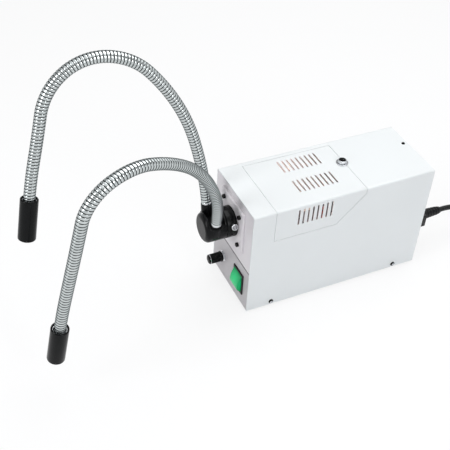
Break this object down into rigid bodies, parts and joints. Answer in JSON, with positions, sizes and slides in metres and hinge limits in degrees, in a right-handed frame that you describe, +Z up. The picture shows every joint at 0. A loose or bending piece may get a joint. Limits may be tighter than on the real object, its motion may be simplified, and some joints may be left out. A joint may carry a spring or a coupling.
{
  "type": "fiber optic illuminator",
  "caption": "Bench cold-light source: a vented steel lamp housing with a forked light guide on two wound goosenecks, knob, lit rocker, fan and mains cord.",
  "frame": {"origin": "on the bench, under the middle of the front panel's outer face", "axes": "+X across the box to the side with the vents, +Y from the front panel to the rear, +Z up"},
  "size_m": [0.2102, 0.7342, 0.3385],
  "materials": {
    "white_paint": "fine powder coat",
    "grey_panel": "satin powder coat",
    "zinc_sheet": "zinc plated sheet",
    "black_anodised": "black satin anodised",
    "black_steel": "black oxide",
    "black_and_chrome": "bright plated rim with a black top",
    "chrome": "bright plated",
    "chrome_wire": "bright plated wire",
    "wound_steel": "bright wound strip",
    "bundle_sheath": "smooth sheath",
    "fibre_face": "ground fibre face",
    "black_plastic": "satin moulding",
    "dark_plastic": "satin moulding",
    "green_lens": "translucent, lit from behind",
    "brown_laminate": "phenolic body",
    "dichroic_glass": "dichroic coating",
    "lamp_glass": "clear quartz",
    "lamp_ceramic": "unglazed",
    "filter_glass": "polished",
    "transformer_iron": "stacked sheet, varnished",
    "winding_tape": "taped winding",
    "circuit_board": "solder resist",
    "fuse_glass": "glass tube with plated caps",
    "red_sleeving": "silicone sleeving",
    "cord_rubber": "satin moulded",
    "rubber": "matt"
  },
  "bodies": {
    "housing": {"chassis": "zinc_sheet", "feet": "rubber", "control_panel": "grey_panel", "lamp_panel": "grey_panel", "rear_panel": "white_paint", "cover": "white_paint", "cover_screws": "chrome", "socket_plate": "grey_panel", "plate_screws": "black_steel", "guide_socket": "black_anodised", "dimmer_body": "brown_laminate", "dimmer_nut": "chrome", "switch_body": "black_plastic", "lamp_deck": "zinc_sheet", "lamp_bracket": "zinc_sheet", "lamp_reflector": "dichroic_glass", "lamp_capsule": "lamp_glass", "lamp_socket": "lamp_ceramic", "heat_filter": "filter_glass", "transformer_core": "transformer_iron", "transformer_coil": "winding_tape", "transformer_brackets": "zinc_sheet", "control_board": "circuit_board", "fan_frame": "black_plastic", "fan_guard": "chrome_wire", "fan_screws": "chrome", "mains_inlet": "black_plastic", "fuse_holder": "black_plastic", "lamp_leads": "red_sleeving", "cord_connector": "cord_rubber", "cord_lead": "cord_rubber", "cord_coil": "cord_rubber", "mains_plug": "cord_rubber"},
    "hatch": {"lamp_hatch": "white_paint"},
    "hatch_thumbscrew": {"hatch_screw": "black_and_chrome"},
    "clamp": {"clamp_screw": "chrome"},
    "guide_insert": {"guide_ferrule": "chrome", "guide_bundle": "fibre_face"},
    "guide": {"guide_block": "black_anodised", "arm_collars": "black_anodised"},
    "near_arm_1": {"near_conduit_1": "wound_steel", "near_bundle_1": "bundle_sheath"},
    "near_arm_2": {"near_conduit_2": "wound_steel", "near_bundle_2": "bundle_sheath"},
    "near_arm_3": {"near_conduit_3": "wound_steel", "near_bundle_3": "bundle_sheath", "near_nozzle": "black_anodised"},
    "far_arm_1": {"far_conduit_1": "wound_steel", "far_bundle_1": "bundle_sheath"},
    "far_arm_2": {"far_conduit_2": "wound_steel", "far_bundle_2": "bundle_sheath"},
    "far_arm_3": {"far_conduit_3": "wound_steel", "far_bundle_3": "bundle_sheath", "far_nozzle": "black_anodised"},
    "knob": {"brightness_knob": "black_plastic", "dimmer_shaft": "zinc_sheet"},
    "rocker": {"rocker": "green_lens"},
    "fan": {"fan_rotor": "dark_plastic"},
    "fuse_cap": {"fuse_carrier": "black_plastic", "fuse": "fuse_glass"}
  },
  "joints": [
    {"name": "guide_pull", "type": "slide", "parent": "housing", "child": "guide_insert", "axis": [0, -1, 0], "range_m": [0, 0.045]},
    {"name": "guide_turn", "type": "hinge", "parent": "guide_insert", "child": "guide", "pos_m": [0, 0, 0.113], "axis": [0, 1, 0], "range_deg": [-20, 5]},
    {"name": "near_sway", "type": "hinge", "parent": "guide", "child": "near_arm_1", "pos_m": [0.012, -0.0293, 0.123], "axis": [0.0885, 0.1204, 0.9888], "range_deg": [-8, 30]},
    {"name": "near_bend_1", "type": "hinge", "parent": "near_arm_1", "child": "near_arm_2", "pos_m": [0.04722, -0.08696, 0.2507], "axis": [0.944, 0.3067, -0.1219], "range_deg": [-25, 4]},
    {"name": "near_bend_2", "type": "hinge", "parent": "near_arm_2", "child": "near_arm_3", "pos_m": [0.08429, -0.20485, 0.24111], "axis": [0.944, 0.3067, -0.1219], "range_deg": [-15, 20]},
    {"name": "far_sway", "type": "hinge", "parent": "guide", "child": "far_arm_1", "pos_m": [-0.012, -0.0293, 0.123], "axis": [-0.1562, 0.0082, 0.9877], "range_deg": [-40, 8]},
    {"name": "far_bend_1", "type": "hinge", "parent": "far_arm_1", "child": "far_arm_2", "pos_m": [-0.03634, -0.05896, 0.26667], "axis": [0.9863, -0.0517, 0.1564], "range_deg": [-20, 20]},
    {"name": "far_bend_2", "type": "hinge", "parent": "far_arm_2", "child": "far_arm_3", "pos_m": [-0.05102, -0.17672, 0.32032], "axis": [0.9863, -0.0517, 0.1564], "range_deg": [-20, 20]},
    {"name": "clamp_turn", "type": "hinge", "parent": "housing", "child": "clamp", "pos_m": [0, -0.0085, 0.113], "axis": [0.9397, 0, 0.342], "continuous": true},
    {"name": "hatch_lift", "type": "slide", "parent": "housing", "child": "hatch", "axis": [0, 0, 1], "range_m": [0, 0.06]},
    {"name": "hatch_screw_turn", "type": "hinge", "parent": "hatch", "child": "hatch_thumbscrew", "pos_m": [-0.0048, 0.1455, 0.154], "axis": [0, 0, 1], "continuous": true},
    {"name": "knob_turn", "type": "hinge", "parent": "housing", "child": "knob", "pos_m": [-0.021, 0, 0.036], "axis": [0, -1, 0], "range_deg": [-150, 150]},
    {"name": "rocker_press", "type": "hinge", "parent": "housing", "child": "rocker", "pos_m": [0.024, 0, 0.036], "axis": [1, 0, 0], "range_deg": [-12, 0]},
    {"name": "fan_spin", "type": "hinge", "parent": "housing", "child": "fan", "pos_m": [0, 0.2435, 0.106], "axis": [0, 1, 0], "continuous": true},
    {"name": "fuse_cap_pull", "type": "slide", "parent": "housing", "child": "fuse_cap", "axis": [0, 1, 0], "range_m": [0, 0.04]}
  ]
}
